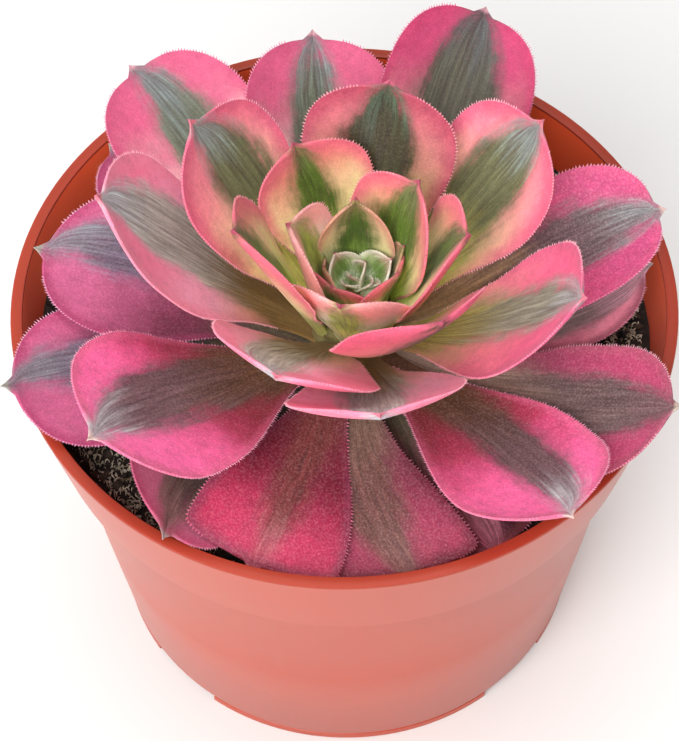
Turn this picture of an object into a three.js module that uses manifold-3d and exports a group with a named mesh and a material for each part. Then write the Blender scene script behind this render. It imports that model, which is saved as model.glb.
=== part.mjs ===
// An aeonium rosette in a round plastic nursery pot.
// Millimetres, +Z up. The origin is on the ground, on the pot's axis, and -Y is the front.
import * as THREE from 'three';
import { mergeVertices } from 'three/addons/utils/BufferGeometryUtils.js';
import Module from 'manifold-3d';

const wasm = await Module();
wasm.setup();

// Pot
const POT_HEIGHT = 100;
const RIM_RADIUS = 70;
const LIP_WIDTH = 2;
const COLLAR_BOTTOM = 75;
const COLLAR_BOTTOM_RADIUS = 65.4;
const WALL_TOP_RADIUS = 62;
const BASE_RADIUS = 54.2;
const WALL = 1.6;
const FLOOR_BOTTOM = 2.5;
const FLOOR_TOP = 4.5;
const FOOT_WIDTH = 3;
const ROUND_SIDES = 64;
const NOTCH_ANGLES = [44, 136, 224, 316];
const NOTCH_LENGTH = 19;
const NOTCH_HEIGHT = 2.3;
const DRAIN_HOLES = 6;
const DRAIN_RADIUS = 4;
const DRAIN_CIRCLE = 36;

// Soil and stem
const CLEARANCE = 0.3;
const SOIL_LEVEL = 87;
const SOIL_RADIUS = 65.3;
const SOIL_BUMP = 0.6;
const STEM_X = 2;
const STEM_Y = -8;
const STEM_RADIUS = 9;
const STEM_FOOT_RADIUS = 7.5;
const STEM_FOOT = 60;
const STEM_SIDES = 20;
const DOME_START = 100;
const DOME_HEIGHT = 14.5;
const STEM_TOP = 108;

// Leaves
const FIRST_LEAF_HEIGHT = 90;
const LEAF_HEIGHT_STEP = 0.6;
const LEAF_BASE_HALF_WIDTH = 2.8;
const EDGE_HALF_THICKNESS = 0.4;
const MIDRIB_STEPS = 200;
const WIDEST = 0.66;
const BLADE_END = 0.965;
const STATIONS = [0, 0.18, 0.36, 0.52, 0.66, 0.77, 0.86, 0.92, 0.96, 1];
const ACROSS = [-1, -0.6, -0.2, 0.2, 0.6, 1];
const SMALL_STATIONS = [0, 0.2, 0.4, 0.6, 0.76, 0.88, 0.96, 1];
const SMALL_ACROSS = [-1, -0.35, 0.35, 1];
const SMALL_WIDTH = 16;
const GOLDEN_ANGLE = 137.5;

// Large leaves from the lowest up. Each row: where the tip is (x, y, z), how many degrees the
// midrib bends up along its length, the width, how many degrees each half is cupped, how many
// degrees the blade rolls, how many degrees the end curls up, and how far the midrib bows sideways.
// A tenth number says how far along its length the leaf is widest, where that isn't the usual place.
const LEAVES = [
  [-51, 40, 103, 4, 30, 27, 0, -15, 2],
  [30.7, -57.5, 88.9, 0, 32, 6, 0, 0, 0, 0.72],
  [-35.9, -60.1, 103, 22, 29, 8, -17, 0, -8, 0.68],
  [65, 5, 103, 17, 31, 26, 0, -7, -1.5],
  [-69, -27, 108, 20, 34, 12, -5, 20, -3],
  [-64.5, 7, 109, 5, 34, 26, -12, 10, -3],
  [65, -40, 117, 50, 31, 15, 12, 10, -1],
  [-46, 52, 115, 3, 34, 34, -10, -28, 1],
  [32, 63, 120, 2, 34, 33, 9, -28, -2],
  [67, 10, 115, -3, 31, 38, 11, -35, -2.5],
  [-6, 58, 119, 4, 34, 25, 10, -11, 1.5],
  [13.3, -63.5, 90, -4, 32, 8, 4, -8, -6, 0.88],
  [-19.6, -63.8, 95.3, -4, 32, 10, -17, -12, 1, 0.88],
  [42, -66, 119, 45, 34, 21, -6, 7, 4],
  [-48, -55, 131, 35, 38, 14, -6, -11, -4],
  [-47, -10, 147, 24, 37, 18, 6, 11, -3],
  [40, 14, 139, 35, 34, 14, -5, 17, 3],
  [10, 28, 136, 30, 33, 10, -6, 20, 1],
  [45, -32, 142, 42, 33, 22, 7, -4, 2.5],
  [-30, 12, 143, 16, 35, 15, 8, 10, -1.5],
  [6, -55, 138, 37, 35, 22, 2, -4, 1],
  [-13, -44, 135, 11, 35, 19, -4, 6, -1.5],
  [18, -38, 143, 20, 32, 29, -4, -8, -1.5],
  [-10, 15, 132, 27, 27.5, 18, 8, 6, -2],
  [-21, -18, 146, 1, 27, 30, 0, -3, 0],
  [15, 0, 138, -14, 26, 42, 4, -20, -2],
  [24, -16, 141, 13, 28, 31, 5, -15, 0],
  [-1, -28, 135, 10, 26, 36, -4, -12, 1],
  [-11, -8, 135, -10, 22, 50, -7, -20, 1.5],
];

// Leaves of the heart, in the same columns. The first one clasps the others from behind.
const HEART_LEAVES = [
  [2, -4, 138, -30, 20, 60, 6, -30, 0],
  [12, -6.9, 126, 5, 10, 30, 0, 0, 0],
  [10.5, -13, 125, 5, 15, 32, -6, 0, -1],
  [-2.5, -14.5, 123, 5, 14, 32, 0, 0, 0],
  [-4, -9.5, 123, 5, 10, 32, 0, 0, 0],
  [-2.2, -7, 125, -10, 12, 45, 0, -10, 0],
  [8.6, -8.5, 125, -10, 12, 45, 6, -10, 0],
  [4.5, -8, 123, -5, 9, 40, 0, -10, 0],
];
const HEART_BASE_HEIGHT = 109.3;
const HEART_HEIGHT_STEP = 0.3;
const HEART_SINK = 1.5;
const BUD_LEAVES = 5;

const radians = THREE.MathUtils.degToRad;

// Solids and meshes

function toSolid(geometry) {
  const position = geometry.getAttribute('position');
  return new wasm.Manifold(new wasm.Mesh({
    numProp: 3,
    vertProperties: new Float32Array(position.array),
    triVerts: new Uint32Array(geometry.getIndex().array),
  }));
}

function toGeometry(solid) {
  const mesh = solid.getMesh();
  const geometry = new THREE.BufferGeometry();
  geometry.setAttribute('position', new THREE.BufferAttribute(mesh.vertProperties, 3));
  geometry.setIndex(new THREE.BufferAttribute(mesh.triVerts, 1));
  geometry.computeVertexNormals();
  return geometry;
}

function merged(geometry) {
  geometry.deleteAttribute('normal');
  geometry.deleteAttribute('uv');
  return mergeVertices(geometry, 1e-4);
}

function lathe(profile, sides) {
  const points = profile.map(([radius, height]) => new THREE.Vector2(radius, height));
  const geometry = merged(new THREE.LatheGeometry(points, sides));
  geometry.rotateX(Math.PI / 2);
  return dropFlatTriangles(geometry);
}

// A lathe profile that ends on the axis leaves triangles with two corners in one place.
function dropFlatTriangles(geometry) {
  const index = geometry.getIndex().array;
  const kept = [];
  for (let i = 0; i < index.length; i += 3) {
    const [a, b, c] = index.slice(i, i + 3);
    if (a !== b && b !== c && c !== a) kept.push(a, b, c);
  }
  geometry.setIndex(kept);
  return geometry;
}

function largestBody(solid) {
  const bodies = solid.decompose();
  return bodies.reduce((best, body) => (body.volume() > best.volume() ? body : best));
}

function overlap(a, b) {
  const one = a.boundingBox();
  const two = b.boundingBox();
  return [0, 1, 2].every((k) => one.min[k] < two.max[k] && two.min[k] < one.max[k]);
}

// Pot: feet, wall, step, collar and lip in one turned section

function potProfile() {
  const footInside = BASE_RADIUS - 0.8 - FOOT_WIDTH;
  const lipInside = RIM_RADIUS - LIP_WIDTH;
  return [
    [0, FLOOR_BOTTOM],
    [footInside, FLOOR_BOTTOM],
    [footInside, 0],
    [BASE_RADIUS - 0.8, 0],
    [BASE_RADIUS - 0.8, NOTCH_HEIGHT],
    [BASE_RADIUS, NOTCH_HEIGHT + 0.6],
    [58.4, 38],
    [WALL_TOP_RADIUS, COLLAR_BOTTOM - 0.5],
    [COLLAR_BOTTOM_RADIUS, COLLAR_BOTTOM],
    [RIM_RADIUS - 0.1, POT_HEIGHT - 1.4],
    [RIM_RADIUS, POT_HEIGHT - 0.5],
    [RIM_RADIUS - 0.5, POT_HEIGHT],
    [lipInside + 0.3, POT_HEIGHT],
    [lipInside, POT_HEIGHT - 0.3],
    [COLLAR_BOTTOM_RADIUS - WALL + 0.2, COLLAR_BOTTOM + 2.5],
    [WALL_TOP_RADIUS - WALL, COLLAR_BOTTOM + 1],
    [58.4 - WALL, 38],
    [BASE_RADIUS - WALL, FLOOR_TOP + 0.5],
    [BASE_RADIUS - WALL - 0.5, FLOOR_TOP],
    [0, FLOOR_TOP],
  ];
}

function makePot() {
  let pot = toSolid(lathe(potProfile(), ROUND_SIDES));
  for (const angle of NOTCH_ANGLES) {
    const notch = new THREE.BoxGeometry(3 * FOOT_WIDTH, NOTCH_LENGTH, 2 * NOTCH_HEIGHT);
    notch.translate(BASE_RADIUS - FOOT_WIDTH / 2, 0, 0);
    notch.rotateZ(radians(angle));
    pot = pot.subtract(toSolid(merged(notch)));
  }
  for (let i = 0; i < DRAIN_HOLES; i += 1) {
    const hole = new THREE.CylinderGeometry(DRAIN_RADIUS, DRAIN_RADIUS, 4 * FLOOR_TOP, 16);
    hole.rotateX(Math.PI / 2);
    hole.translate(DRAIN_CIRCLE, 0, 0);
    hole.rotateZ((i / DRAIN_HOLES) * 2 * Math.PI);
    pot = pot.subtract(toSolid(merged(hole)));
  }
  return pot;
}

// Soil: fills the pot, with an uneven top and a plain hole for the stem

function makeSoil() {
  const top = [59, 50, 41, 32, 23, 14].map((radius) => [radius, SOIL_LEVEL + 0.4]);
  const geometry = lathe([
    [0, FLOOR_TOP + CLEARANCE],
    [51.7, FLOOR_TOP + CLEARANCE],
    [BASE_RADIUS - WALL - CLEARANCE, FLOOR_TOP + 1],
    [58.4 - WALL - CLEARANCE, 38],
    [WALL_TOP_RADIUS - WALL - 0.4, COLLAR_BOTTOM + 1.5],
    [63.5, COLLAR_BOTTOM + 3],
    [SOIL_RADIUS, SOIL_LEVEL],
    ...top,
    [0, SOIL_LEVEL + 0.8],
  ], ROUND_SIDES);
  const position = geometry.getAttribute('position');
  for (let i = 0; i < position.count; i += 1) {
    const x = position.getX(i);
    const y = position.getY(i);
    if (position.getZ(i) > SOIL_LEVEL + 0.1) {
      const wave = Math.sin(0.41 * x + 1.3) * Math.cos(0.37 * y) + 0.6 * Math.sin(0.9 * x - 0.8 * y);
      position.setZ(i, position.getZ(i) + SOIL_BUMP * wave);
    }
  }
  const holeRadius = STEM_FOOT_RADIUS + CLEARANCE + 0.15;
  const hole = new THREE.CylinderGeometry(holeRadius, holeRadius, 60, STEM_SIDES);
  hole.rotateX(Math.PI / 2);
  hole.translate(STEM_X, STEM_Y, STEM_FOOT - CLEARANCE + 30);
  return toSolid(geometry).subtract(toSolid(merged(hole)));
}

// Stem: a short trunk in the soil, thicker where the leaves sit, with a domed end

function stemRadius(height) {
  const rise = Math.max(0, height - DOME_START) / DOME_HEIGHT;
  return STEM_RADIUS * Math.sqrt(Math.max(0.02, 1 - rise * rise));
}

function makeStem(extra = 0) {
  const dome = [100, 102, 104, 106].map((height) => [stemRadius(height) + extra, height]);
  const geometry = lathe([
    [0, STEM_FOOT - extra],
    [STEM_FOOT_RADIUS - 1.5 + extra, STEM_FOOT - extra],
    [STEM_FOOT_RADIUS + extra, STEM_FOOT + 6],
    [STEM_FOOT_RADIUS + extra, SOIL_LEVEL],
    [STEM_FOOT_RADIUS + extra, SOIL_LEVEL + 1.2],
    [STEM_RADIUS + extra, SOIL_LEVEL + 3],
    ...dome,
    [stemRadius(STEM_TOP) + extra, STEM_TOP + extra],
    [0, STEM_TOP + extra],
  ], STEM_SIDES);
  geometry.translate(STEM_X, STEM_Y, 0);
  return toSolid(geometry);
}

// One leaf: an arched midrib, a spoon outline with a small point, and a cupped section

function outline(u, widest) {
  if (u < widest) return 0.5 - 0.5 * Math.cos(Math.PI * (u / widest) ** 0.85);
  const v = Math.min(1, (u - widest) / (BLADE_END - widest));
  const blade = Math.sqrt(1 - v ** 2.5);
  const point = u > 0.9 ? (0.11 * (1 - u)) / 0.07 : 0;
  return Math.max(blade, point);
}

function halfWidth(u, width, baseHalfWidth, widest) {
  const full = outline(u, widest);
  const stalk = Math.max(0, baseHalfWidth * (1 - u / 0.35)) * (1 - full);
  return Math.max(EDGE_HALF_THICKNESS, stalk + (full * width) / 2);
}

function halfThickness(u, t, width) {
  const middle = Math.min(1.3, width * 0.06) * (1 - 0.55 * u);
  return EDGE_HALF_THICKNESS + Math.max(0, middle - EDGE_HALF_THICKNESS) * (1 - t * t);
}

// The midrib starts at the stem and ends at the tip. Its slope turns by bend, and by curl near the end.
function midrib(reach, rise, bend, curl) {
  const slope = (u) => radians(bend) * u + radians(curl) * Math.max(0, (u - 0.6) / 0.4) ** 2;
  const points = [[0, 0]];
  for (let i = 1; i <= MIDRIB_STEPS; i += 1) {
    const angle = slope((i - 0.5) / MIDRIB_STEPS);
    const [x, z] = points[i - 1];
    points.push([x + Math.cos(angle), z + Math.sin(angle)]);
  }
  const [endX, endZ] = points[MIDRIB_STEPS];
  const scale = Math.hypot(reach, rise) / Math.hypot(endX, endZ);
  const turn = Math.atan2(rise, reach) - Math.atan2(endZ, endX);
  return (u) => {
    const [x, z] = points[Math.round(u * MIDRIB_STEPS)];
    return {
      out: scale * (x * Math.cos(turn) - z * Math.sin(turn)),
      up: scale * (x * Math.sin(turn) + z * Math.cos(turn)),
      angle: slope(u) + turn,
    };
  };
}

function leafPoints(row, baseHeight, baseRadius, extra) {
  const [x, y, z, bend, width, cup, roll, curl, sweep, widest = WIDEST] = row;
  const azimuth = Math.atan2(y - STEM_Y, x - STEM_X);
  const reach = Math.hypot(x - STEM_X, y - STEM_Y) - baseRadius;
  const rib = midrib(reach, z - baseHeight, bend, curl);
  const outward = new THREE.Vector3(Math.cos(azimuth), Math.sin(azimuth), 0);
  const sideways = new THREE.Vector3(-Math.sin(azimuth), Math.cos(azimuth), 0);
  const upward = new THREE.Vector3(0, 0, 1);
  const baseHalfWidth = width > 20 ? LEAF_BASE_HALF_WIDTH : 0.16 * width;
  const { stations, across } = divisions(width);
  const points = [];
  for (const u of stations) {
    const { out, up, angle } = rib(u);
    const along = outward.clone().multiplyScalar(Math.cos(angle)).addScaledVector(upward, Math.sin(angle));
    const above = upward.clone().multiplyScalar(Math.cos(angle)).addScaledVector(outward, -Math.sin(angle));
    const turn = radians(roll) * Math.min(1, u / 0.5);
    const side = sideways.clone().multiplyScalar(Math.cos(turn)).addScaledVector(above, Math.sin(turn));
    const face = above.clone().multiplyScalar(Math.cos(turn)).addScaledVector(sideways, -Math.sin(turn));
    const centre = new THREE.Vector3(STEM_X, STEM_Y, baseHeight + up);
    centre.addScaledVector(outward, baseRadius + out);
    centre.addScaledVector(sideways, sweep * 4 * u * (1 - u));
    if (u === 0) centre.addScaledVector(along, -extra);
    if (u === 1) centre.addScaledVector(along, extra);
    const half = halfWidth(u, width, baseHalfWidth, widest) + extra;
    const bow = radians(cup);
    const ring = (t, sign) => {
      const thickness = sign * (halfThickness(u, t, width) + extra);
      const point = centre.clone();
      point.addScaledVector(side, (half * Math.sin(bow * t)) / bow - thickness * Math.sin(bow * t));
      point.addScaledVector(face, (half * (1 - Math.cos(bow * t))) / bow + thickness * Math.cos(bow * t));
      return point;
    };
    for (const t of across) points.push(ring(t, 1));
    for (const t of across) points.push(ring(t, -1));
  }
  return points;
}

function divisions(width) {
  if (width < SMALL_WIDTH) return { stations: SMALL_STATIONS, across: SMALL_ACROSS };
  return { stations: STATIONS, across: ACROSS };
}

function leafSolid(row, baseHeight, baseRadius, extra = 0) {
  const points = leafPoints(row, baseHeight, baseRadius, extra);
  const { stations, across } = divisions(row[4]);
  const n = across.length;
  const last = stations.length - 1;
  const index = [];
  const top = (i, j) => 2 * n * i + j;
  const under = (i, j) => 2 * n * i + n + j;
  const quad = (a, b, c, d) => index.push(a, b, c, a, c, d);
  for (let i = 0; i < last; i += 1) {
    for (let j = 0; j < n - 1; j += 1) {
      quad(top(i, j), top(i + 1, j), top(i + 1, j + 1), top(i, j + 1));
      index.push(under(i, j), under(i + 1, j + 1), under(i + 1, j));
      index.push(under(i, j), under(i, j + 1), under(i + 1, j + 1));
    }
    quad(top(i, 0), under(i, 0), under(i + 1, 0), top(i + 1, 0));
    quad(top(i, n - 1), top(i + 1, n - 1), under(i + 1, n - 1), under(i, n - 1));
  }
  for (let j = 0; j < n - 1; j += 1) {
    quad(top(0, j), top(0, j + 1), under(0, j + 1), under(0, j));
    quad(top(last, j), under(last, j), under(last, j + 1), top(last, j + 1));
  }
  const geometry = new THREE.BufferGeometry();
  geometry.setAttribute('position', new THREE.Float32BufferAttribute(points.flatMap((p) => p.toArray()), 3));
  geometry.setIndex(index);
  return toSolid(geometry);
}

// Large leaves: each is cut back where a leaf above it, the heart or the stem passes

function leafAt(place, extra) {
  const baseHeight = FIRST_LEAF_HEIGHT + LEAF_HEIGHT_STEP * place;
  const baseRadius = stemRadius(baseHeight) + CLEARANCE;
  return leafSolid(LEAVES[place], baseHeight, baseRadius, extra);
}

function makeLeaves(heartRoom) {
  const room = LEAVES.map((row, place) => leafAt(place, CLEARANCE));
  const stemRoom = makeStem(CLEARANCE);
  return LEAVES.map((row, place) => {
    let leaf = leafAt(place, 0);
    for (const other of [...room.slice(place + 1), stemRoom, heartRoom]) {
      if (overlap(leaf, other)) leaf = leaf.subtract(other);
    }
    return largestBody(leaf);
  });
}

// Heart: the youngest leaves, sunk into the end of the stem

function budRow(place) {
  const azimuth = radians(GOLDEN_ANGLE * place);
  const reach = 3.2 - 0.35 * place;
  const x = STEM_X + reach * Math.cos(azimuth);
  const y = STEM_Y + reach * Math.sin(azimuth);
  return [x, y, 120 - 0.3 * place, 10, 6.5 - 0.5 * place, 40, 0, 10, 0];
}

function makeHeart(extra = 0) {
  const core = [110, 112, 113.4].map((height) => [stemRadius(height) + extra, height]);
  const geometry = lathe([
    [0, STEM_TOP + CLEARANCE - extra],
    [stemRadius(STEM_TOP) + extra, STEM_TOP + CLEARANCE - extra],
    ...core,
    [0, DOME_START + DOME_HEIGHT + extra],
  ], STEM_SIDES);
  geometry.translate(STEM_X, STEM_Y, 0);
  let heart = toSolid(geometry);
  const add = (row, height) => {
    heart = heart.add(leafSolid(row, height, Math.max(0.6, stemRadius(height) - HEART_SINK), extra));
  };
  HEART_LEAVES.forEach((row, place) => add(row, HEART_BASE_HEIGHT + HEART_HEIGHT_STEP * place));
  for (let place = 0; place < BUD_LEAVES; place += 1) add(budRow(place), 112.4 + 0.2 * place);
  return heart;
}

// Materials and the finished group

const terracotta = new THREE.MeshStandardMaterial({ color: 0xc8553a, roughness: 0.45 });
const peat = new THREE.MeshStandardMaterial({ color: 0x2b2320, roughness: 0.95 });
const bark = new THREE.MeshStandardMaterial({ color: 0x7b7a45, roughness: 0.7 });
const leafPink = new THREE.MeshStandardMaterial({ color: 0xd9587f, roughness: 0.55 });
const leafCoral = new THREE.MeshStandardMaterial({ color: 0xe58a86, roughness: 0.55 });
const leafGreen = new THREE.MeshStandardMaterial({ color: 0xb9c07e, roughness: 0.55 });
const CORAL_FROM = 15;

const part = new THREE.Group();

function addMesh(name, solid, material) {
  const mesh = new THREE.Mesh(toGeometry(solid), material);
  mesh.name = name;
  part.add(mesh);
}

addMesh('pot', makePot(), terracotta);
addMesh('soil', makeSoil(), peat);
addMesh('stem', makeStem(), bark);
addMesh('heart', makeHeart(), leafGreen);
makeLeaves(makeHeart(CLEARANCE)).forEach((leaf, place) => {
  const name = `leaf_${String(place + 1).padStart(2, '0')}`;
  addMesh(name, leaf, place < CORAL_FROM ? leafPink : leafCoral);
});

export default part;
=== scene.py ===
"""An aeonium rosette in a terracotta-coloured nursery pot.

Sizes are in millimetres until a mesh is made, where MM turns them into metres.
The frame is that of the solids: +Z up, the origin on the ground on the pot's axis, -Y the front.
"""

import math
import random

import bpy
import numpy as np
from mathutils import Matrix, Vector, noise


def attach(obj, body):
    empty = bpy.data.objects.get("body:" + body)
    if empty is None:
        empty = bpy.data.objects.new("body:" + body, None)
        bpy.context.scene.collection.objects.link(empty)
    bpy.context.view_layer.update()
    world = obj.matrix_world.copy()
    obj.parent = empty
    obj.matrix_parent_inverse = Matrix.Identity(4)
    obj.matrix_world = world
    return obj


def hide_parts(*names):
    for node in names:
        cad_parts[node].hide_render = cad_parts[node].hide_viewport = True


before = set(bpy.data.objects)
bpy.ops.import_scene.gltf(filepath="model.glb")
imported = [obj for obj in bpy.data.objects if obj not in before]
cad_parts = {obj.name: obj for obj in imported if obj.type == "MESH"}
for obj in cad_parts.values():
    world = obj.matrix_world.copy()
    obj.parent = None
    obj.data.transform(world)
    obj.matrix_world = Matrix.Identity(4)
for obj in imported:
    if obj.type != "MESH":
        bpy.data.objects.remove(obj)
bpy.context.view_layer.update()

MM = 0.001

# Pot, as in the solids
POT_HEIGHT = 100
RIM_RADIUS = 70
LIP_WIDTH = 2.5
COLLAR_BOTTOM = 75
COLLAR_BOTTOM_RADIUS = 65.4
WALL_TOP_RADIUS = 62
WALL_MIDDLE_RADIUS = 58.4
WALL_MIDDLE = 38
BASE_RADIUS = 54.2
WALL = 1.6
FLOOR_BOTTOM = 2.5
FLOOR_TOP = 4.5
FOOT_WIDTH = 3
NOTCH_ANGLES = (44, 136, 224, 316)
NOTCH_LENGTH = 19
NOTCH_HEIGHT = 2.3
DRAIN_HOLES = 6
DRAIN_RADIUS = 4
DRAIN_CIRCLE = 36
DRAIN_SIDES = 32
TURNED_STEPS = 160

# Soil. Each bump has its scale, its own layer of noise and its height.
SOIL_LEVEL = 87
SOIL_RADIUS = 65.3
SOIL_RINGS = 60
SOIL_STEPS = 120
SOIL_GAP = 0.3
SOIL_SHOULDER_RADIUS = 63.5
SOIL_SINK = 0.2
SOIL_BUMPS = ((0.05, 3.0, 0.8), (0.22, 8.0, 0.9), (0.8, 5.0, 0.5))
CRUMB_RADIUS = 64
FIBRE_PARTS = 5

# Stem: where it stands, its rounded end, and the scars of old leaves
STEM = np.array((2.0, -8.0))
STEM_RADIUS = 9
STEM_FOOT_RADIUS = 7.5
DOME_START = 100
DOME_HEIGHT = 14.5
STEM_RINGS = 60
STEM_STEPS = 96
SCAR_DEPTH = 0.35
SCAR_TURNS = 4
SCAR_PITCH = 1.1

# The pot's colours, and where they change: the top of the lip, darker as painted shade, and the inner
# face above the soil, brighter as painted light, which lies within a cone
SHADED_LIP_COLOUR = (162, 52, 26)
LIT_INSIDE_COLOUR = (255, 100, 50)
OUTSIDE_COLOUR = (178, 56, 18)
LIP_SHADE = 0.6
WALL_SLOPE = 0.18
WALL_CONE_RADIUS = 50.7
INSIDE_BOTTOM = COLLAR_BOTTOM + 2

# Leaf shape, as in the solids
FIRST_LEAF_HEIGHT = 90
LEAF_HEIGHT_STEP = 0.6
LARGE_WIDTH = 20
LEAF_BASE_HALF_WIDTH = 3.6
SMALL_BASE_SHARE = 0.16
LEAST_HALF_WIDTH = 0.06
STALK_END = 0.45
LEAF_ROOT = 0.8
CURL_START = 0.6
ROLL_END = 0.5
MIDRIB_STEPS = 400

# The two outlines: the place where the leaf is widest, the place where its blade ends and its point
# goes on, and how full its lower and upper parts are
BROAD = {"widest": 0.66, "end": 0.957, "lower": 0.85, "upper": 2.5}
POINTED = {"widest": 0.48, "end": 0.93, "lower": 0.7, "upper": 2}
TIP_WIDTH = 0.135
TIP_CURVE = 1.15
TIP_START = 0.06
TIP_BLEND = 0.05

# Leaf thickness, the keel under its upper half and the waves of its margin
EDGE_HALF_THICKNESS = 0.22
MIDDLE_HALF_THICKNESS = 1.3
MIDDLE_SHARE = 0.06
THINNING = 0.55
TIP_TAPER = 0.06
TIP_THICKNESS = 0.12
KEEL_DEPTH = 0.5
KEEL_START = 0.5
KEEL_RISE = 0.4
KEEL_WIDTH = 25
WAVE_HEIGHT = 0.45
WAVED_WIDTH = 34
LONG_WAVE = 9
SHORT_WAVE = 17
SHORT_WAVE_SHARE = 0.6

# Leaf mesh
ROWS = 84
COLUMNS = 24
SMALL_ROWS = 44
SMALL_COLUMNS = 14
SMALL_WIDTH = 18
MARGIN_POINTS = 160
STATION_POINTS = 400
FINE_POINTS = 4001
TOOTH_PITCH = 0.78
TOOTH_LENGTH = 0.62
TOOTH_HALF_WIDTH = 0.27
TOOTH_SINK = 0.12
FIRST_TOOTH = 0.16
LAST_TOOTH = 0.94
MARGIN_PER_LENGTH = 1.35
LEAST_TOOTH_SIZE = 0.55
TOOTH_GROWTH = 60

# The stripe's taper, the softness of its sides, where its sideways shift grows and ends, and what
# sets the patterns of the leaves apart
STRIPE_TAPER = 0.28
STRIPE_TAPER_CURVE = 0.7
STRIPE_FEATHER = 0.6
SHIFT_FROM_BASE = 0.4
SHIFT_FROM_TIP = 0.14
HEART_NUMBER = 40
PATTERN_STEP = 7.31

# Each large leaf, from the lowest up: where the tip is (x, y, z), how many degrees the midrib
# bends up along its length, the width, how many degrees each half is cupped, how many degrees
# the blade rolls, how many degrees the end curls up, how far the midrib bows sideways, then its
# finish, the half width and sideways shift of its stripe and, where it isn't the usual place,
# how far along its length the leaf is widest.
LEAVES = [
    (-51, 40, 103, 4, 30, 27, 0, -15, 2, "purple", 5, 0),
    (30.7, -57.5, 88.9, 0, 32, 6, 0, 0, 0, "wine", 5, 0, 0.72),
    (-35.9, -60.1, 103, 22, 29, 8, -17, 0, -8, "dusty", 5, 0, 0.68),
    (65, 5, 103, 17, 31, 26, 0, -7, -1.5, "shaded", 7, -3),
    (-69, -27, 108, 20, 34, 12, -5, 20, -3, "purple", 5.5, -4),
    (-64.5, 7, 109, 5, 34, 26, -12, 10, -3, "purple", 6.5, -4.5),
    (65, -40, 117, 50, 31, 15, 12, 10, -1, "mauve", 7, 1.2),
    (-46, 52, 115, 3, 34, 34, -10, -28, 1, "back", 6.8, -2),
    (32, 63, 120, 2, 34, 33, 9, -28, -2, "slate", 8.8, 0),
    (67, 10, 115, -3, 31, 38, 11, -35, -2.5, "magenta", 7, 1),
    (-6, 58, 119, 4, 34, 25, 10, -11, 1.5, "back", 5.8, 0.5),
    (13.3, -63.5, 90, -4, 32, 8, 4, -8, -6, "beige", 6, 0, 0.88),
    (-19.6, -63.8, 95.3, -4, 32, 10, -17, -12, 1, "crimson", 3.5, 0.5, 0.88),
    (42, -66, 119, 45, 34, 21, -6, 7, 4, "hot", 5.5, 3.5),
    (-48, -55, 131, 35, 38, 14, -6, -11, -4, "hot", 7.5, -2),
    (-47, -10, 147, 24, 37, 18, 6, 11, -3, "rose", 8.5, -3),
    (40, 14, 139, 35, 34, 14, -5, 17, 3, "coral", 8.5, 0),
    (10, 28, 136, 30, 33, 10, -6, 20, 1, "green", 8, 0),
    (45, -32, 142, 42, 33, 22, 7, -4, 2.5, "petal", 5.5, 2),
    (-30, 12, 143, 16, 35, 15, 8, 10, -1.5, "coral", 8, -2.5),
    (6, -55, 138, 37, 35, 22, 2, -4, 1, "rose", 6, 0),
    (-13, -44, 135, 11, 35, 19, -4, 6, -1.5, "rose", 6, -4),
    (18, -38, 143, 20, 32, 29, -4, -8, -1.5, "blush", 5, 1.5),
    (-10, 15, 132, 27, 27.5, 18, 8, 6, -2, "inner", 4.5, 0),
    (-21, -18, 146, 1, 27, 30, 0, -3, 0, "inner", 4, -1.5),
    (15, 0, 138, -14, 26, 42, 4, -20, -2, "inner", 6.5, 0),
    (24, -16, 141, 13, 28, 31, 5, -15, 0, "inner", 4.5, 1.5),
    (-1, -28, 135, 10, 26, 36, -4, -12, 1, "olive", 3.5, -0.5),
    (-11, -8, 135, -10, 22, 50, -7, -20, 1.5, "olive", 3.5, -2),
]

# Leaves of the heart, in the same columns, and the height and distance from the stem's axis at
# which each begins
HEART_LEAVES = [
    ((2.5, -3, 136.5, 10, 17.5, 50, 4, -10, 0, "heart", 4.2, 0), 109.3, 6),
    ((12, -6.9, 126, 5, 10, 30, 0, 0, 0, "heart", 2, 0), 109.6, 5.5),
    ((10.5, -13, 125, 5, 15, 32, -6, 0, -1, "inner", 3, 0), 109.9, 5.5),
    ((-2.5, -14.5, 123, 5, 14, 32, 0, 0, 0, "inner", 2.5, 0), 110.2, 5),
    ((-4, -9.5, 123, 5, 10, 32, 0, 0, 0, "heart", 2, 0), 110.5, 5),
    ((-1.9, -5.9, 122.5, 10, 10, 45, -20, 0, 0, "bud", 3, 0), 112.3, 1),
    ((9.6, -7.6, 122.5, 10, 11, 45, 20, 0, 0, "bud", 3, 0), 112.6, 1),
    ((4.4, -7.1, 121, 5, 7, 60, 0, -10, 0, "bud", 2, 0), 113, 0.8),
    ((1.3, -9.4, 119.5, 5, 5, 50, -10, 0, 0, "bud", 1.4, 0), 113.5, 0.6),
    ((5.9, -10.8, 118.8, 5, 4.5, 45, 10, 0, 0, "bud", 1.2, 0), 113.7, 0.5),
    ((0, -11.2, 118.8, 5, 4, 40, 0, 0, 0, "bud", 1, 0), 113.8, 0.5),
    ((3.2, -10.4, 117.6, 5, 3.2, 40, 0, 0, 0, "bud", 0.8, 0), 113.9, 0.4),
    ((7.5, -10.6, 118.6, 5, 3, 40, 0, 0, 0, "bud", 0.8, 0), 114, 0.4),
]

# Camera, measured from the rim and foot in the photo
CAMERA_PLACE = (-1.187, -286.536, 488.747)
CAMERA_TARGET = (-1.2, -14.5, 93.3)
CAMERA_ROLL = -0.8485
FOCAL_PIXELS = 2298.77
PHOTO_HEIGHT = 741
SENSOR = 36

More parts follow.
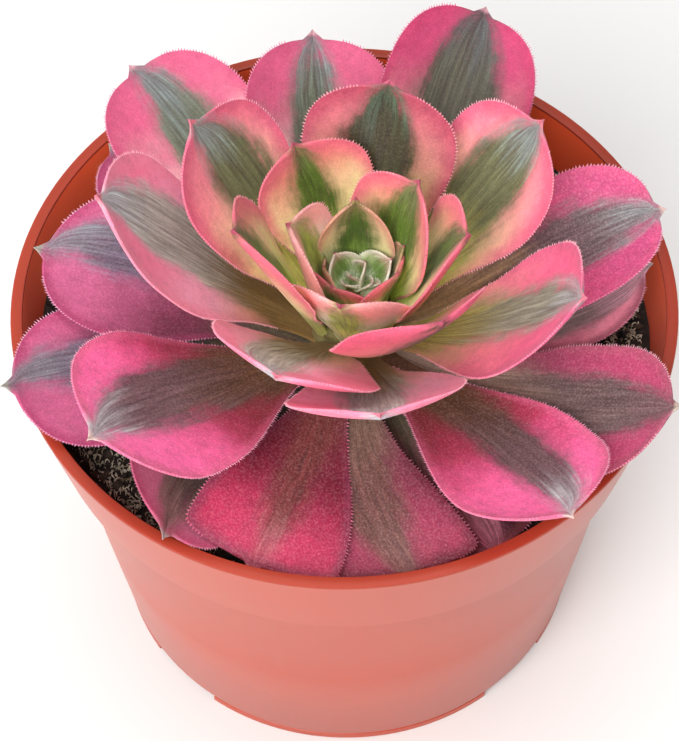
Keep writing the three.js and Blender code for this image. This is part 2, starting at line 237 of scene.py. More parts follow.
# Studio, in metres: a sky that is bright on the left, and round lights, each with its place, size,
# power and tint
SKY_LEFT = (1.0, 1.0, 1.0, 1)
SKY_RIGHT = (0.32, 0.31, 0.296, 1)
SKY_STRENGTH = 0.88
LIGHTS = {
    "window": ((-0.3, -0.75, 0.85), 0.8, 12, (1.0, 0.985, 0.96)),
    "top": ((0.1, 0.15, 1.15), 0.8, 4, (1.0, 1.0, 1.0)),
}
LIGHT_AIM = (0, 0, 0.1)
FLOOR_SIZE = 6
FLOOR_DROP = 0.0002


# Node helpers

def make(tree, kind, inputs=None, **settings):
    """One shader node. Each input is given a value, or linked to another node's output."""
    node = tree.nodes.new(kind)
    for name, value in settings.items():
        setattr(node, name, value)
    for name, value in (inputs or {}).items():
        if isinstance(value, bpy.types.NodeSocket):
            tree.links.new(value, node.inputs[name])
        else:
            node.inputs[name].default_value = value
    return node


def compute(tree, operation, *values):
    inputs = {place: value for place, value in enumerate(values)}
    return make(tree, "ShaderNodeMath", inputs, operation=operation).outputs[0]


def rise(tree, value, low, high):
    """0 below low, 1 above high and smooth between them."""
    inputs = {"Value": value, "From Min": low, "From Max": high}
    return make(tree, "ShaderNodeMapRange", inputs, interpolation_type="SMOOTHSTEP").outputs["Result"]


def remap(tree, value, low, high, new_low, new_high):
    """The value carried evenly from one range to another, and held at both ends."""
    inputs = {"Value": value, "From Min": low, "From Max": high, "To Min": new_low, "To Max": new_high}
    return make(tree, "ShaderNodeMapRange", inputs).outputs["Result"]


def tone(tree, value, low, high):
    """A grey between low and high, to darken or lighten a colour."""
    level = remap(tree, value, 0.25, 0.75, low, high)
    return make(tree, "ShaderNodeCombineColor", {0: level, 1: level, 2: level}).outputs[0]


def blend(tree, factor, first, second, blend_type="MIX"):
    node = make(tree, "ShaderNodeMix", data_type="RGBA", blend_type=blend_type)
    for place, value in ((0, factor), (6, first), (7, second)):
        if isinstance(value, bpy.types.NodeSocket):
            tree.links.new(value, node.inputs[place])
        else:
            node.inputs[place].default_value = value
    return node.outputs[2]


def grain(tree, vector, scale, detail=2, roughness=0.5):
    inputs = {"Vector": vector, "Scale": scale, "Detail": detail, "Roughness": roughness}
    return make(tree, "ShaderNodeTexNoise", inputs).outputs["Fac"]


def attribute(tree, name):
    return make(tree, "ShaderNodeAttribute", attribute_name=name).outputs["Fac"]


def object_place(tree):
    return make(tree, "ShaderNodeTexCoord").outputs["Object"]


def linear(value):
    """A share of light from its value on the screen, 0 to 255."""
    value /= 255
    return value / 12.92 if value <= 0.04045 else ((value + 0.055) / 1.055) ** 2.4


def colour(red, green, blue):
    """A colour from its values on the screen."""
    return (linear(red), linear(green), linear(blue), 1)


def new_group(name, inputs, outputs):
    group = bpy.data.node_groups.new(name, "ShaderNodeTree")
    for socket, kind in inputs:
        group.interface.new_socket(socket, in_out="INPUT", socket_type=kind)
    for socket, kind in outputs:
        group.interface.new_socket(socket, in_out="OUTPUT", socket_type=kind)
    entry = group.nodes.new("NodeGroupInput")
    leave = group.nodes.new("NodeGroupOutput")
    return group, entry.outputs, leave.inputs


def new_material(name):
    material = bpy.data.materials.new(name)
    material.use_nodes = True
    tree = material.node_tree
    return material, tree, tree.nodes["Principled BSDF"]


def set_shader(shader, **values):
    """The shader's own sockets, each named with _ for a space."""
    for name, value in values.items():
        shader.inputs[name.replace("_", " ")].default_value = value


def add_bump(tree, shader, height, distance, strength=1.0):
    inputs = {"Height": height, "Distance": distance, "Strength": strength}
    bump = make(tree, "ShaderNodeBump", inputs)
    tree.links.new(bump.outputs["Normal"], shader.inputs["Normal"])


def place_group(tree, group, values):
    node = tree.nodes.new("ShaderNodeGroup")
    node.node_tree = group
    for name, value in values.items():
        node.inputs[name].default_value = value
    return node.outputs


# Leaf skin: a coloured blade with a streaked stripe down the middle

COLOURS = ("Rim", "Blade", "Fade", "Base", "Stripe tip", "Stripe", "Stripe base", "Tip")
VALUES = ("Rim width", "Fade at", "Base at", "Speckle", "At tip", "At base")


def make_leaf_pattern():
    inputs = [(name, "NodeSocketColor") for name in COLOURS]
    inputs += [(name, "NodeSocketFloat") for name in VALUES]
    outputs = [("Color", "NodeSocketColor"), ("Height", "NodeSocketFloat")]
    tree, given, result = new_group("leaf pattern", inputs, outputs)

    along = attribute(tree, "along")
    across = attribute(tree, "across")
    edge = attribute(tree, "edge")
    stripe = attribute(tree, "stripe")
    number = attribute(tree, "number")
    place = object_place(tree)

    def streaks(length_scale, width_scale, detail):
        """Noise drawn out along the leaf, and different on each leaf."""
        inputs = {
            "X": compute(tree, "MULTIPLY", along, length_scale),
            "Y": compute(tree, "MULTIPLY", across, width_scale),
            "Z": compute(tree, "MULTIPLY", number, PATTERN_STEP),
        }
        vector = make(tree, "ShaderNodeCombineXYZ", inputs).outputs[0]
        return grain(tree, vector, 1.0, detail, 0.6)

    def sway(value, amount):
        """Noise about zero, to half of the amount either way."""
        return compute(tree, "MULTIPLY_ADD", value, amount, -amount / 2)

    broad = streaks(2.6, 5.0, 3)
    fine = streaks(7.0, 30.0, 4)
    blotch = grain(tree, place, 110.0, 3)
    patch = grain(tree, place, 240.0, 3, 0.6)
    mottle = grain(tree, place, 650.0, 3, 0.6)
    dots = grain(tree, place, 2300.0, 3, 0.6)

    # The blade: its colour changes from the tip to the base, and the rim has its own
    station = compute(tree, "ADD", along, sway(blotch, 0.3))
    from_fade = compute(tree, "SUBTRACT", station, given["Fade at"])
    from_base = compute(tree, "SUBTRACT", station, given["Base at"])
    blade = blend(tree, rise(tree, from_fade, -0.2, 0.2), given["Fade"], given["Blade"])
    blade = blend(tree, rise(tree, from_base, -0.15, 0.2), given["Base"], blade)
    rim_width = compute(tree, "MULTIPLY", given["Rim width"], remap(tree, along, 0.2, 0.75, 0.45, 1.0))
    rim_place = compute(tree, "ADD", compute(tree, "DIVIDE", edge, rim_width), sway(patch, 0.5))
    rim = compute(tree, "SUBTRACT", 1.0, rise(tree, rim_place, 0.0, 1.0))
    rim = compute(tree, "MULTIPLY", rim, rise(tree, from_base, -0.3, 0.3))
    blade = blend(tree, compute(tree, "MULTIPLY", rim, 0.9), blade, given["Rim"])
    blade = blend(tree, 1.0, blade, tone(tree, patch, 0.88, 1.12), "MULTIPLY")

    # The stripe: a wide soft veil and a dark core, both feathered, paler at the tip
    uneven = compute(tree, "ADD", sway(broad, 5.0), sway(patch, 5.0))
    veil = compute(tree, "ADD", stripe, uneven)
    core = compute(tree, "ADD", veil, sway(fine, 5.0))
    mask = compute(tree, "MULTIPLY", rise(tree, veil, -2.5, 2.0), 0.6)
    mask = compute(tree, "MULTIPLY_ADD", rise(tree, core, -0.5, 3.0), 0.37, mask)
    lower = remap(tree, along, 0.15, 0.45, given["At base"], 1.0)
    upper = remap(tree, along, 0.75, 0.95, 1.0, given["At tip"])
    mask = compute(tree, "MULTIPLY", mask, compute(tree, "MULTIPLY", lower, upper))
    station = compute(tree, "ADD", compute(tree, "ADD", along, sway(broad, 0.4)), sway(fine, 0.2))
    middle = blend(tree, rise(tree, station, 0.22, 0.58), given["Stripe base"], given["Stripe"])
    middle = blend(tree, rise(tree, station, 0.68, 0.98), middle, given["Stripe tip"])
    thread = streaks(3.5, 14.0, 3)
    middle = blend(tree, 1.0, middle, tone(tree, thread, 0.6, 1.4), "MULTIPLY")
    middle = blend(tree, 1.0, middle, tone(tree, fine, 0.45, 1.55), "MULTIPLY")
    skin = blend(tree, mask, blade, middle)
    skin = blend(tree, rise(tree, along, 0.965, 0.985), skin, given["Tip"])

    # Velvet: a fine mottle and pale dots
    strength = compute(tree, "MULTIPLY_ADD", given["Speckle"], 1.6, 0.35)
    skin = blend(tree, strength, skin, tone(tree, mottle, 0.8, 1.2), "MULTIPLY")
    skin = blend(tree, strength, skin, tone(tree, dots, 0.76, 1.24), "MULTIPLY")
    pale = blend(tree, 0.5, skin, colour(255, 225, 225))
    lit = compute(tree, "MULTIPLY", rise(tree, dots, 0.42, 0.74), given["Speckle"])
    skin = blend(tree, lit, skin, pale)
    tree.links.new(skin, result["Color"])

    height = compute(tree, "MULTIPLY_ADD", fine, 0.8, dots)
    tree.links.new(height, result["Height"])
    return tree


# How the colours lie on each kind of leaf, in mm and in shares of its length: the rim's width, where
# the blade fades and where its base begins, then how strong the speckle is, and the stripe at each end
OLD_LAYOUT = {
    "Rim width": 3.2, "Fade at": 0.62, "Base at": 0.3, "Speckle": 0.14, "At tip": 0.9, "At base": 0.9,
}
SHADED_LAYOUT = {
    "Rim width": 3.0, "Fade at": 0.62, "Base at": 0.34, "Speckle": 0.12, "At tip": 0.9, "At base": 0.95,
}
BACK_LAYOUT = {
    "Rim width": 3.2, "Fade at": 0.62, "Base at": 0.3, "Speckle": 0.06, "At tip": 0.95, "At base": 0.9,
}
HOT_LAYOUT = {
    "Rim width": 3.2, "Fade at": 0.58, "Base at": 0.34, "Speckle": 0.22, "At tip": 0.95, "At base": 0.85,
}
DULL_LAYOUT = {
    "Rim width": 3.2, "Fade at": 0.6, "Base at": 0.34, "Speckle": 0.22, "At tip": 0.85, "At base": 0.95,
}
PETAL_LAYOUT = {
    "Rim width": 5.0, "Fade at": 0.62, "Base at": 0.36, "Speckle": 0.07, "At tip": 0.95, "At base": 0.9,
}
INNER_LAYOUT = {
    "Rim width": 4.5, "Fade at": 0.68, "Base at": 0.44, "Speckle": 0.06, "At tip": 1.0, "At base": 0.7,
}

# The colours of each finish: its rim, its blade from the tip to the base, its stripe and its point
LEAF_FINISHES = {
    # Low leaves on the left: their dark fade is painted shade of the leaves above them, and their base is
    # partly their own olive and partly painted shade
    "purple": {
        "Rim": (184, 67, 115), "Blade": (196, 91, 135), "Fade": (118, 40, 70), "Base": (96, 72, 66),
        "Stripe tip": (116, 128, 134), "Stripe": (96, 82, 102), "Stripe base": (104, 92, 68),
        "Tip": (160, 160, 150), **OLD_LAYOUT,
    },
    "shaded": {
        "Rim": (160, 74, 94), "Blade": (252, 148, 174), "Fade": (178, 72, 102), "Base": (102, 94, 60),
        "Stripe tip": (200, 154, 168), "Stripe": (128, 108, 106), "Stripe base": (90, 84, 72),
        "Tip": (170, 150, 150), **SHADED_LAYOUT,
    },
    # A low leaf lying under the leaf beside it: its dark blade and fade are painted shade
    "wine": {
        "Rim": (118, 56, 64), "Blade": (72, 22, 38), "Fade": (94, 34, 46), "Base": (102, 94, 60),
        "Stripe tip": (192, 118, 138), "Stripe": (136, 74, 88), "Stripe base": (104, 92, 74),
        "Tip": (170, 150, 150), **SHADED_LAYOUT,
    },
    # A low front leaf, dull pink of its own, darkened in its fade and stripe base by painted shade
    "dusty": {
        "Rim": (192, 76, 116), "Blade": (200, 104, 136), "Fade": (98, 28, 46), "Base": (102, 94, 60),
        "Stripe tip": (128, 106, 96), "Stripe": (72, 62, 54), "Stripe base": (46, 34, 28),
        "Tip": (170, 150, 150), **SHADED_LAYOUT,
    },
    "back": {
        "Rim": (201, 80, 120), "Blade": (206, 84, 124), "Fade": (240, 184, 186), "Base": (190, 130, 120),
        "Stripe tip": (100, 118, 118), "Stripe": (84, 96, 76), "Stripe base": (98, 92, 60),
        "Tip": (200, 150, 160), **BACK_LAYOUT,
    },
    "slate": {
        "Rim": (195, 58, 104), "Blade": (190, 60, 106), "Fade": (236, 154, 158), "Base": (190, 130, 120),
        "Stripe tip": (66, 82, 80), "Stripe": (72, 76, 58), "Stripe base": (98, 92, 60),
        "Tip": (200, 150, 160), **BACK_LAYOUT,
    },
    "hot": {
        "Rim": (224, 100, 142), "Blade": (254, 106, 168), "Fade": (178, 42, 82), "Base": (126, 40, 44),
        "Stripe tip": (166, 174, 176), "Stripe": (96, 76, 78), "Stripe base": (94, 66, 38),
        "Tip": (226, 196, 190), **HOT_LAYOUT,
    },
    "magenta": {
        "Rim": (214, 80, 130), "Blade": (206, 70, 126), "Fade": (226, 68, 110), "Base": (160, 84, 84),
        "Stripe tip": (128, 140, 140), "Stripe": (98, 78, 82), "Stripe base": (200, 168, 124),
        "Tip": (226, 196, 190), **HOT_LAYOUT,
    },
    "mauve": {
        "Rim": (172, 78, 106), "Blade": (184, 64, 108), "Fade": (156, 58, 94), "Base": (156, 84, 94),
        "Stripe tip": (90, 84, 82), "Stripe": (94, 78, 76), "Stripe base": (176, 146, 130),
        "Tip": (190, 176, 160), **DULL_LAYOUT,
    },
    "beige": {
        "Rim": (114, 30, 56), "Blade": (158, 50, 86), "Fade": (122, 54, 72), "Base": (112, 76, 74),
        "Stripe tip": (112, 84, 74), "Stripe": (104, 66, 60), "Stripe base": (122, 92, 78),
        "Tip": (190, 176, 160), **DULL_LAYOUT,
    },
    # A low front leaf: its dark fade and base are painted shade under the leaves above it
    "crimson": {
        "Rim": (142, 52, 82), "Blade": (190, 44, 90), "Fade": (122, 14, 50), "Base": (112, 36, 48),
        "Stripe tip": (150, 98, 98), "Stripe": (113, 48, 48), "Stripe base": (115, 52, 46),
        "Tip": (220, 150, 160), "Rim width": 3.2, "Fade at": 0.68, "Base at": 0.34, "Speckle": 0.22,
        "At tip": 0.4, "At base": 0.6,
    },
    # Pink of its own, brightened as painted light for light shining through the thin leaf
    "rose": {
        "Rim": (254, 142, 172), "Blade": (255, 132, 168), "Fade": (255, 174, 206),
        "Base": (224, 160, 138), "Stripe tip": (176, 192, 196), "Stripe": (168, 172, 162),
        "Stripe base": (114, 94, 34), "Tip": (226, 120, 140), **PETAL_LAYOUT,
    },
    "petal": {
        "Rim": (222, 94, 134), "Blade": (240, 92, 138), "Fade": (236, 122, 144), "Base": (206, 154, 126),
        "Stripe tip": (150, 160, 160), "Stripe": (132, 136, 118), "Stripe base": (152, 146, 72),
        "Tip": (226, 120, 140), **PETAL_LAYOUT,
    },
    "coral": {
        "Rim": (230, 98, 134), "Blade": (250, 140, 156), "Fade": (232, 184, 156), "Base": (236, 208, 146),
        "Stripe tip": (124, 146, 142), "Stripe": (92, 102, 66), "Stripe base": (186, 184, 90),
        "Tip": (226, 120, 140), **PETAL_LAYOUT, "Rim width": 6.0,
    },
    "green": {
        "Rim": (184, 70, 98), "Blade": (204, 108, 120), "Fade": (196, 174, 120), "Base": (210, 186, 126),
        "Stripe tip": (70, 98, 78), "Stripe": (38, 46, 2), "Stripe base": (80, 86, 24),
        "Tip": (206, 100, 130), "Rim width": 5.5, "Fade at": 0.6, "Base at": 0.3, "Speckle": 0.08,
        "At tip": 1.0, "At base": 0.9,
    },
    "blush": {
        "Rim": (232, 100, 132), "Blade": (236, 100, 128), "Fade": (252, 164, 158),
        "Base": (226, 206, 136), "Stripe tip": (76, 64, 36), "Stripe": (80, 66, 28),
        "Stripe base": (150, 160, 70), "Tip": (176, 74, 100), **INNER_LAYOUT, "Rim width": 5.0,
    },
    # The pale fade, base and stripe base are partly the leaf's own cream and yellow-green and partly
    # painted glow of light through the leaf
    "inner": {
        "Rim": (236, 108, 132), "Blade": (226, 130, 122), "Fade": (252, 222, 168),
        "Base": (238, 246, 156), "Stripe tip": (92, 106, 60), "Stripe": (66, 102, 13),
        "Stripe base": (220, 242, 104), "Tip": (176, 74, 100), **INNER_LAYOUT,
    },
    # The near-white fade and base, and the pale stripe base, are partly the leaf's own cream and partly
    # painted glow of light through the leaf
    "olive": {
        "Rim": (254, 176, 176), "Blade": (254, 172, 168), "Fade": (255, 252, 236),
        "Base": (255, 254, 226), "Stripe tip": (132, 132, 80), "Stripe": (140, 164, 50),
        "Stripe base": (234, 246, 106), "Tip": (176, 74, 100), **INNER_LAYOUT, "Rim width": 4.0,
    },
    "heart": {
        "Rim": (222, 160, 136), "Blade": (226, 186, 150), "Fade": (236, 226, 170),
        "Base": (252, 252, 184), "Stripe tip": (96, 104, 44), "Stripe": (50, 88, 8),
        "Stripe base": (126, 162, 58), "Tip": (170, 74, 92), "Rim width": 2.6, "Fade at": 0.62,
        "Base at": 0.38, "Speckle": 0.04, "At tip": 0.95, "At base": 0.8,
    },
    "bud": {
        "Rim": (255, 250, 236), "Blade": (240, 240, 204), "Fade": (204, 220, 158),
        "Base": (244, 250, 218), "Stripe tip": (156, 94, 84), "Stripe": (98, 134, 56),
        "Stripe base": (244, 252, 224), "Tip": (176, 88, 116), "Rim width": 2.0, "Fade at": 0.6,
        "Base at": 0.35, "Speckle": 0.04, "At tip": 0.8, "At base": 0.8,
    },
}

# The colour of each finish's margin and teeth
EDGE_COLOURS = {
    "purple": (222, 156, 184), "shaded": (190, 122, 140), "wine": (170, 100, 124),
    "dusty": (200, 130, 148), "back": (232, 140, 170), "slate": (228, 130, 162), "hot": (236, 150, 178),
    "magenta": (234, 150, 178), "mauve": (224, 150, 168), "beige": (176, 100, 118),
    "crimson": (214, 104, 134), "rose": (250, 172, 186), "petal": (250, 166, 182),
    "coral": (250, 166, 180), "green": (246, 160, 172), "blush": (248, 150, 166),
    "inner": (240, 150, 158), "olive": (236, 160, 164), "heart": (236, 178, 160),
    "bud": (250, 248, 226),
}

VELVET_TINT = (1.0, 0.86, 0.88, 1)
TRANSLUCENT = ("rose", "petal", "coral", "green", "blush", "inner", "olive", "heart", "bud")
PALE_RIMS = ("rose", "petal", "coral", "blush", "inner", "olive", "heart", "bud")


def make_leaf_material(finish, pattern):
    material, tree, shader = new_material(f"{finish}_leaf_skin")
    values = dict(LEAF_FINISHES[finish])
    for name in COLOURS:
        values[name] = colour(*values[name])
    skin = place_group(tree, pattern, values)
    tree.links.new(skin["Color"], shader.inputs["Base Color"])
    clear = finish in TRANSLUCENT
    set_shader(shader, Roughness=0.55, Specular_IOR_Level=0.4)
    set_shader(shader, Sheen_Weight=0.09, Sheen_Roughness=0.45, Sheen_Tint=VELVET_TINT)
    set_shader(shader, Subsurface_Weight=0.2 if clear else 0.1, Subsurface_Radius=(1.0, 0.7, 0.45),
               Subsurface_Scale=(1.5 if clear else 1.0) * MM)
    add_bump(tree, shader, skin["Height"], 0.12 * MM, 0.8)
    return material


def make_edge_material(finish):
    material, tree, shader = new_material(f"{finish}_leaf_teeth")
    place = object_place(tree)
    speck = grain(tree, place, 900.0, 2)
    tint = blend(tree, 1.0, colour(*EDGE_COLOURS[finish]), tone(tree, speck, 0.86, 1.08), "MULTIPLY")
    tree.links.new(tint, shader.inputs["Base Color"])
    set_shader(shader, Roughness=0.5)
    set_shader(shader, Subsurface_Weight=0.3, Subsurface_Radius=(1.0, 0.6, 0.5), Subsurface_Scale=0.8 * MM)
    return material


# Pot plastic, soil and stem

def make_pot_material():
    material, tree, shader = new_material("terracotta_plastic")
    place = object_place(tree)
    cloud = grain(tree, place, 22.0, 4)
    fine = grain(tree, place, 1500.0, 3)
    parts = make(tree, "ShaderNodeSeparateXYZ", {0: place}).outputs
    level = make(tree, "ShaderNodeCombineXYZ", {"X": parts["X"], "Y": parts["Y"]}).outputs[0]
    radius = make(tree, "ShaderNodeVectorMath", {0: level}, operation="LENGTH").outputs["Value"]
    cone = compute(tree, "MULTIPLY_ADD", parts["Z"], -WALL_SLOPE, radius)
    within = compute(tree, "LESS_THAN", cone, WALL_CONE_RADIUS * MM)
    above_soil = compute(tree, "GREATER_THAN", parts["Z"], INSIDE_BOTTOM * MM)
    inside = compute(tree, "MULTIPLY", within, above_soil)
    on_lip = compute(tree, "GREATER_THAN", parts["Z"], (POT_HEIGHT - LIP_SHADE) * MM)
    # The inner face is painted brighter than the outside, as painted light
    plastic = blend(tree, inside, colour(*OUTSIDE_COLOUR), colour(*LIT_INSIDE_COLOUR))
    # The top of the lip is painted darker, as painted shade
    plastic = blend(tree, on_lip, plastic, colour(*SHADED_LIP_COLOUR))
    plastic = blend(tree, 1.0, plastic, tone(tree, cloud, 0.93, 1.07), "MULTIPLY")
    tree.links.new(plastic, shader.inputs["Base Color"])
    tree.links.new(remap(tree, cloud, 0, 1, 0.38, 0.5), shader.inputs["Roughness"])
    dull = compute(tree, "MAXIMUM", inside, on_lip)
    tree.links.new(remap(tree, dull, 0, 1, 0.4, 0.15), shader.inputs["Coat Weight"])
    set_shader(shader, Specular_IOR_Level=0.3, Coat_Roughness=0.35, Sheen_Weight=0.06, Sheen_Roughness=0.6)
    set_shader(shader, Subsurface_Weight=0.25, Subsurface_Radius=(1.0, 0.3, 0.15), Subsurface_Scale=4 * MM)
    add_bump(tree, shader, fine, 0.02 * MM, 0.5)
    return material


def make_soil_material():
    material, tree, shader = new_material("peat")
    place = object_place(tree)
    clump = grain(tree, place, 300.0, 5, 0.7)
    fine = grain(tree, place, 1800.0, 4, 0.7)
    peat = blend(tree, rise(tree, clump, 0.35, 0.7), colour(24, 20, 19), colour(66, 54, 46))
    peat = blend(tree, rise(tree, fine, 0.62, 0.75), peat, colour(120, 104, 86))
    tree.links.new(peat, shader.inputs["Base Color"])
    set_shader(shader, Roughness=0.9)
    add_bump(tree, shader, compute(tree, "ADD", clump, fine), 0.6 * MM)
    return material


def make_crumb_material(name, dark, light):
    material, tree, shader = new_material(name)
    place = object_place(tree)
    patch = grain(tree, place, 260.0, 2)
    fine = grain(tree, place, 2400.0, 3, 0.7)
    tint = blend(tree, rise(tree, patch, 0.35, 0.65), dark, light)
    tint = blend(tree, 1.0, tint, tone(tree, fine, 0.7, 1.25), "MULTIPLY")
    tree.links.new(tint, shader.inputs["Base Color"])
    set_shader(shader, Roughness=0.85)
    add_bump(tree, shader, fine, 0.25 * MM)
    return material


def make_stem_material():
    material, tree, shader = new_material("stem_skin")
    place = object_place(tree)
    patch = grain(tree, place, 180.0, 4)
    fine = grain(tree, place, 1600.0, 3)
    skin = blend(tree, rise(tree, patch, 0.35, 0.65), colour(112, 98, 62), colour(138, 134, 84))
    skin = blend(tree, 1.0, skin, tone(tree, fine, 0.8, 1.15), "MULTIPLY")
    tree.links.new(skin, shader.inputs["Base Color"])
    set_shader(shader, Roughness=0.7)
    add_bump(tree, shader, fine, 0.15 * MM)
    return material


# Meshes

def deselect_all():
    if bpy.context.object and bpy.context.object.mode != "OBJECT":
        bpy.ops.object.mode_set(mode="OBJECT")
    bpy.ops.object.select_all(action="DESELECT")


def select_only(piece):
    deselect_all()
    piece.select_set(True)
    bpy.context.view_layer.objects.active = piece


def apply_modifier(piece, kind, **settings):
    select_only(piece)
    modifier = piece.modifiers.new(kind.title(), kind)
    for name, value in settings.items():
        setattr(modifier, name, value)
    bpy.ops.object.modifier_apply(modifier=modifier.name)


def join(name, pieces):
    deselect_all()
    for piece in pieces:
        piece.select_set(True)
    bpy.context.view_layer.objects.active = pieces[0]
    bpy.ops.object.join()
    pieces[0].name = name
    pieces[0].data.name = name
    return pieces[0]


def mesh_piece(name, points, faces, material):
    """A piece from its points in millimetres."""
    mesh = bpy.data.meshes.new(name)
    mesh.from_pydata((np.asarray(points) * MM).tolist(), [], faces)
    mesh.materials.append(material)
    piece = bpy.data.objects.new(name, mesh)
    bpy.context.scene.collection.objects.link(piece)
    return piece


def set_values(mesh, name, values):
    layer = mesh.attributes.new(name, "FLOAT", "POINT")
    layer.data.foreach_set("value", np.asarray(values, np.float32))


def spin_profile(name, profile, steps, centre=(0, 0)):
    """A turned piece: a profile of (radius, height) points, spun about a vertical axis."""
    deselect_all()
    bpy.ops.mesh.primitive_plane_add(size=MM, location=(0, 0, 0))
    piece = bpy.context.object
    piece.name = name
    bpy.ops.object.mode_set(mode="EDIT")
    bpy.ops.mesh.select_all(action="SELECT")
    bpy.ops.mesh.delete(type="VERT")
    bpy.ops.object.mode_set(mode="OBJECT")
    mesh = piece.data
    mesh.vertices.add(len(profile))
    for vertex, (radius, height) in zip(mesh.vertices, profile):
        vertex.co = ((centre[0] + radius) * MM, centre[1] * MM, height * MM)
    mesh.edges.add(len(profile) - 1)
    for place, edge in enumerate(mesh.edges):
        edge.vertices = (place, place + 1)
    bpy.ops.object.mode_set(mode="EDIT")
    bpy.ops.mesh.select_all(action="SELECT")
    middle = (centre[0] * MM, centre[1] * MM, 0)
    bpy.ops.mesh.spin(steps=steps, angle=2 * math.pi, center=middle, axis=(0, 0, 1))
    bpy.ops.mesh.select_all(action="SELECT")
    bpy.ops.mesh.remove_doubles(threshold=0.002 * MM)
    bpy.ops.mesh.normals_make_consistent(inside=False)
    bpy.ops.object.mode_set(mode="OBJECT")
    return piece


def finish_piece(piece, materials, nodes, smooth_angle):
    """Smooth shading, materials, and the solids that the piece stands for."""
    select_only(piece)
    bpy.ops.object.shade_smooth_by_angle(angle=math.radians(smooth_angle))
    if materials:
        piece.data.materials.clear()
        for material in materials:
            piece.data.materials.append(material)
    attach(piece, "root")
    if nodes:
        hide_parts(*nodes)


# Leaves

def dome_radius(height):
    share = max(0, height - DOME_START) / DOME_HEIGHT
    return STEM_RADIUS * math.sqrt(max(0.02, 1 - share * share))


def outline(u, form, widest):
    """Half of a leaf's width at u, 0 at its base and 1 at its tip, as a share of its greatest."""
    end = form["end"]
    lower = 0.5 - 0.5 * np.cos(np.pi * (np.clip(u, 0, widest) / widest) ** form["lower"])
    v = np.clip((u - widest) / (end - widest), 0, 1)
    blade = np.where(u < widest, lower, np.sqrt(1 - v ** form["upper"]))
    point = TIP_WIDTH * ((1 - u) / (1 - end)) ** TIP_CURVE
    fade = np.clip((u - end + TIP_START) / TIP_BLEND, 0, 1)
    return (blade ** 4 + (point * fade * fade * (3 - 2 * fade)) ** 4) ** 0.25


